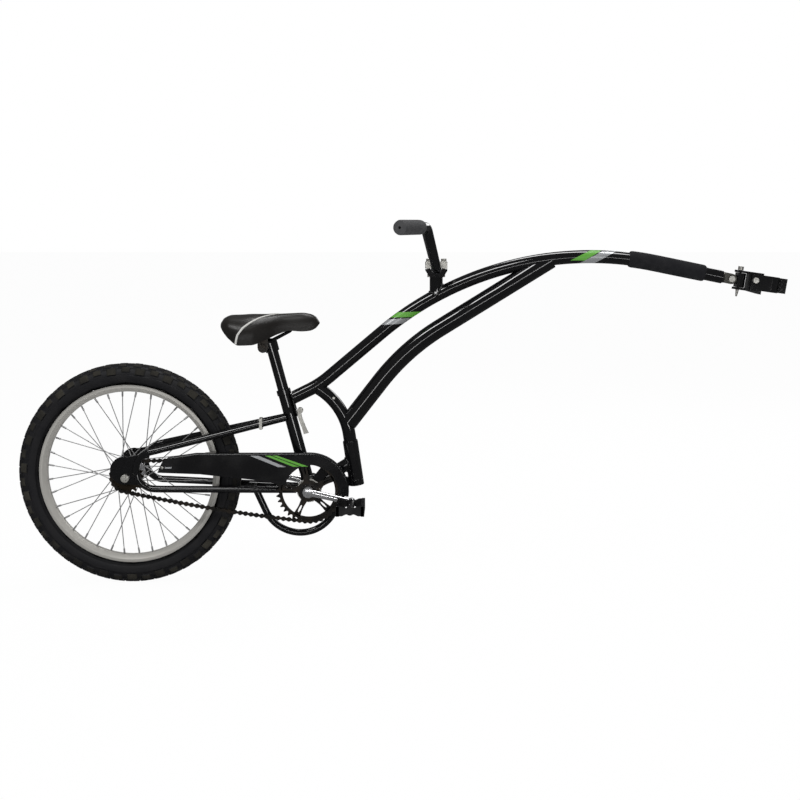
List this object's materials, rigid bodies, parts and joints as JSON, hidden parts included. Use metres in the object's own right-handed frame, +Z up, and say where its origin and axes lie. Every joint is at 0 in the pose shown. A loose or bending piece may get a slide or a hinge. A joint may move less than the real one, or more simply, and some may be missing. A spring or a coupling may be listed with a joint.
{
  "type": "trailer bike",
  "caption": "Folding one-wheel trailer bike for a child, with an arched boom that hooks on an adult bicycle's seat post.",
  "frame": {"origin": "centre of the clamp that takes the seat post of the towing bicycle", "axes": "+X forward towards the towing bicycle, +Y to the left of travel, +Z up"},
  "size_m": [1.772, 0.5016, 0.8433],
  "materials": {
    "black_paint": "gloss black powder coat",
    "grey_paint": "pale warm grey satin",
    "zinc_steel": "zinc plated",
    "black_steel": "black oxide, slightly oily",
    "chrome": "bright chrome",
    "tyre": "matt knobbly rubber",
    "tube_rubber": "plain rubber",
    "foam": "matt closed cell foam",
    "black_resin": "moulded black",
    "vinyl": "soft vinyl, low sheen"
  },
  "bodies": {
    "front_frame": {"boom_tube": "black_paint", "lower_tube": "black_paint", "strut_tube": "black_paint", "hinge_post": "zinc_steel", "hinge_cap": "black_paint", "stem_tube": "black_paint", "stem_cap": "zinc_steel", "latch_plate": "black_paint", "foam_pad": "foam", "hitch_tongue": "zinc_steel", "pitch_bolt": "zinc_steel"},
    "handlebar": {"handlebar": "black_paint", "grip_right": "foam", "grip_left": "foam"},
    "rear_frame": {"seat_tube": "black_paint", "seat_collar": "black_paint", "link_tube": "black_paint", "hinge_sleeve": "black_paint", "hinge_bush_lower": "black_resin", "hinge_bush_upper": "black_resin", "bracket_shell": "black_paint", "bracket_cup_right": "zinc_steel", "bracket_cup_left": "zinc_steel", "stay_right": "black_paint", "stay_left": "black_paint", "dropout_right": "black_paint", "dropout_left": "black_paint", "guard_loop": "black_paint", "stay_bridge": "black_paint", "chain_guard": "black_resin", "guard_bracket": "black_paint", "flag_clip": "zinc_steel", "latch_skewer": "zinc_steel", "rear_axle": "zinc_steel", "chain": "black_steel"},
    "latch_lever": {"latch_lever": "zinc_steel"},
    "wheel": {"hub_shell": "chrome", "rim": "grey_paint", "tyre": "tyre", "inner_tube": "tube_rubber", "spokes_right": "chrome", "spokes_left": "chrome"},
    "cog": {"rear_cog": "zinc_steel"},
    "crank": {"crank_arms": "chrome", "chainring": "black_steel"},
    "pedal_right": {"pedal_right": "black_resin"},
    "pedal_left": {"pedal_left": "black_resin"},
    "seat_post": {"seat_post": "black_paint", "saddle_clamp_base": "black_paint"},
    "saddle": {"saddle_clamp": "black_steel", "saddle_rails": "black_paint", "saddle_shell": "black_resin", "saddle_cover": "vinyl"},
    "hitch_block": {"yaw_block": "black_paint", "yaw_pin": "zinc_steel"},
    "hitch_yoke": {"yoke": "black_paint", "yoke_cross_bolt": "zinc_steel", "clamp_half_right": "black_paint", "clamp_half_left": "black_paint", "post_bush": "black_resin"}
  },
  "joints": [
    {"name": "fold_hinge", "type": "hinge", "parent": "front_frame", "child": "rear_frame", "pos_m": [-0.95534, 0, -0.40847], "axis": [0.1426, 0, -0.9898], "range_deg": [0, 135]},
    {"name": "bar_tilt", "type": "hinge", "parent": "front_frame", "child": "handlebar", "pos_m": [-0.76278, 0, 0.03512], "axis": [0, 1, 0], "range_deg": [-20, 20]},
    {"name": "hitch_pitch", "type": "hinge", "parent": "front_frame", "child": "hitch_block", "pos_m": [-0.08932, 0, 0.01255], "axis": [0, 1, 0], "range_deg": [-35, 35]},
    {"name": "hitch_yaw", "type": "hinge", "parent": "hitch_block", "child": "hitch_yoke", "pos_m": [-0.06952, 0, 0.00977], "axis": [0.1392, 0, 0.9903], "range_deg": [-75, 75]},
    {"name": "wheel_spin", "type": "hinge", "parent": "rear_frame", "child": "wheel", "pos_m": [-1.47548, 0, -0.44055], "axis": [0, 1, 0], "continuous": true},
    {"name": "crank_spin", "type": "hinge", "parent": "rear_frame", "child": "crank", "pos_m": [-1.05678, 0, -0.47385], "axis": [0, 1, 0], "continuous": true},
    {"name": "cog_spin", "type": "hinge", "parent": "rear_frame", "child": "cog", "pos_m": [-1.47548, 0, -0.44055], "axis": [0, 1, 0], "continuous": true},
    {"name": "pedal_right_spin", "type": "hinge", "parent": "crank", "child": "pedal_right", "pos_m": [-0.9574, -0.112, -0.4968], "axis": [0, 1, 0], "continuous": true},
    {"name": "pedal_left_spin", "type": "hinge", "parent": "crank", "child": "pedal_left", "pos_m": [-1.15617, 0.112, -0.45091], "axis": [0, 1, 0], "continuous": true},
    {"name": "lever_swing", "type": "hinge", "parent": "rear_frame", "child": "latch_lever", "pos_m": [-1.07761, 0, -0.29228], "axis": [0, -1, 0], "range_deg": [0, 100]},
    {"name": "post_slide", "type": "slide", "parent": "rear_frame", "child": "seat_post", "axis": [-0.2504, 0, 0.9681], "range_m": [-0.04, 0.04]},
    {"name": "saddle_tilt", "type": "hinge", "parent": "seat_post", "child": "saddle", "pos_m": [-1.15966, 0, -0.14378], "axis": [0, 1, 0], "range_deg": [-12, 12]}
  ],
  "couplings": [
    {"joint": "cog_spin", "follows": "crank_spin", "ratio": 2}
  ]
}
